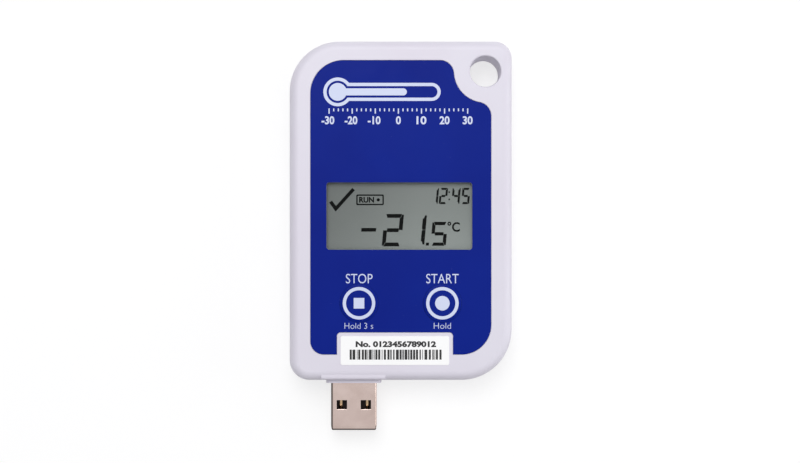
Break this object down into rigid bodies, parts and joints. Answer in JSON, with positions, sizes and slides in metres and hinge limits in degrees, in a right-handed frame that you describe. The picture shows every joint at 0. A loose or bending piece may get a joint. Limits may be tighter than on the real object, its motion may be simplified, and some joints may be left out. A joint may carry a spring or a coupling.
{
  "type": "temperature data logger",
  "caption": "Flat pocket temperature data logger with a display, stop and start keys, a built-in plug, a coin cell cover and a hanging hole.",
  "frame": {"origin": "under the middle of the outline's box, plug included, at the level of the rear face", "axes": "+Z out of the front face, +Y towards the top of the face, away from the plug, +X to the right of the face"},
  "size_m": [0.058, 0.1018, 0.0119],
  "materials": {
    "case_plastic": "fine moulded grain, pale lavender white",
    "front_film": "satin printed polycarbonate film, royal blue",
    "clear_window": "clear polished plastic",
    "label_paper": "white coated label stock",
    "polariser_film": "neutral film with a soft sheen",
    "display_glass": "thin flat glass",
    "reflector": "greenish grey reflector foil",
    "holder_plastic": "natural white moulding",
    "contact_rubber": "layered contact rubber",
    "key_plastic": "grey moulding",
    "switch_plastic": "black moulding",
    "board": "green solder mask",
    "chip_black": "black moulding compound",
    "plated_steel": "bright plated steel",
    "component_ceramic": "tan ceramic",
    "contact_gold": "gold plating",
    "seal_rubber": "black rubber",
    "plug_steel": "nickel plated folded sheet",
    "plug_plastic": "black moulding"
  },
  "bodies": {
    "housing": {"front_case": "case_plastic", "rear_case": "case_plastic", "graphic_overlay": "front_film", "display_window": "clear_window", "serial_label": "label_paper", "lcd_polariser": "polariser_film", "lcd_front_glass": "display_glass", "lcd_rear_glass": "display_glass", "lcd_reflector": "reflector", "lcd_holder": "holder_plastic", "lcd_contact_strip": "contact_rubber", "stop_switch": "switch_plastic", "start_switch": "switch_plastic", "circuit_board": "board", "microcontroller": "chip_black", "memory_chip": "chip_black", "clock_crystal": "plated_steel", "temperature_sensor": "chip_black", "small_components": "component_ceramic", "coin_cell": "plated_steel", "cell_side_contact": "contact_gold", "cell_centre_contact": "contact_gold", "plug_shell": "plug_steel", "plug_tongue": "plug_plastic", "plug_contacts": "contact_gold", "board_screws": "plated_steel"},
    "stop_button": {"stop_key": "key_plastic", "stop_key_dome": "front_film", "stop_switch_plunger": "switch_plastic"},
    "start_button": {"start_key": "key_plastic", "start_key_dome": "front_film", "start_switch_plunger": "switch_plastic"},
    "battery_lid": {"battery_cover": "case_plastic", "cover_seal": "seal_rubber"}
  },
  "joints": [
    {"name": "stop_press", "type": "slide", "parent": "housing", "child": "stop_button", "axis": [0, 0, -1], "range_m": [0, 0.00035], "stiffness_N_per_m": 1500, "springref_m": -0.0003},
    {"name": "start_press", "type": "slide", "parent": "housing", "child": "start_button", "axis": [0, 0, -1], "range_m": [0, 0.00035], "stiffness_N_per_m": 1500, "springref_m": -0.0003},
    {"name": "battery_lid_turn", "type": "hinge", "parent": "housing", "child": "battery_lid", "pos_m": [0, 0.0127, 0], "axis": [0, 0, -1], "range_deg": [0, 45]}
  ]
}
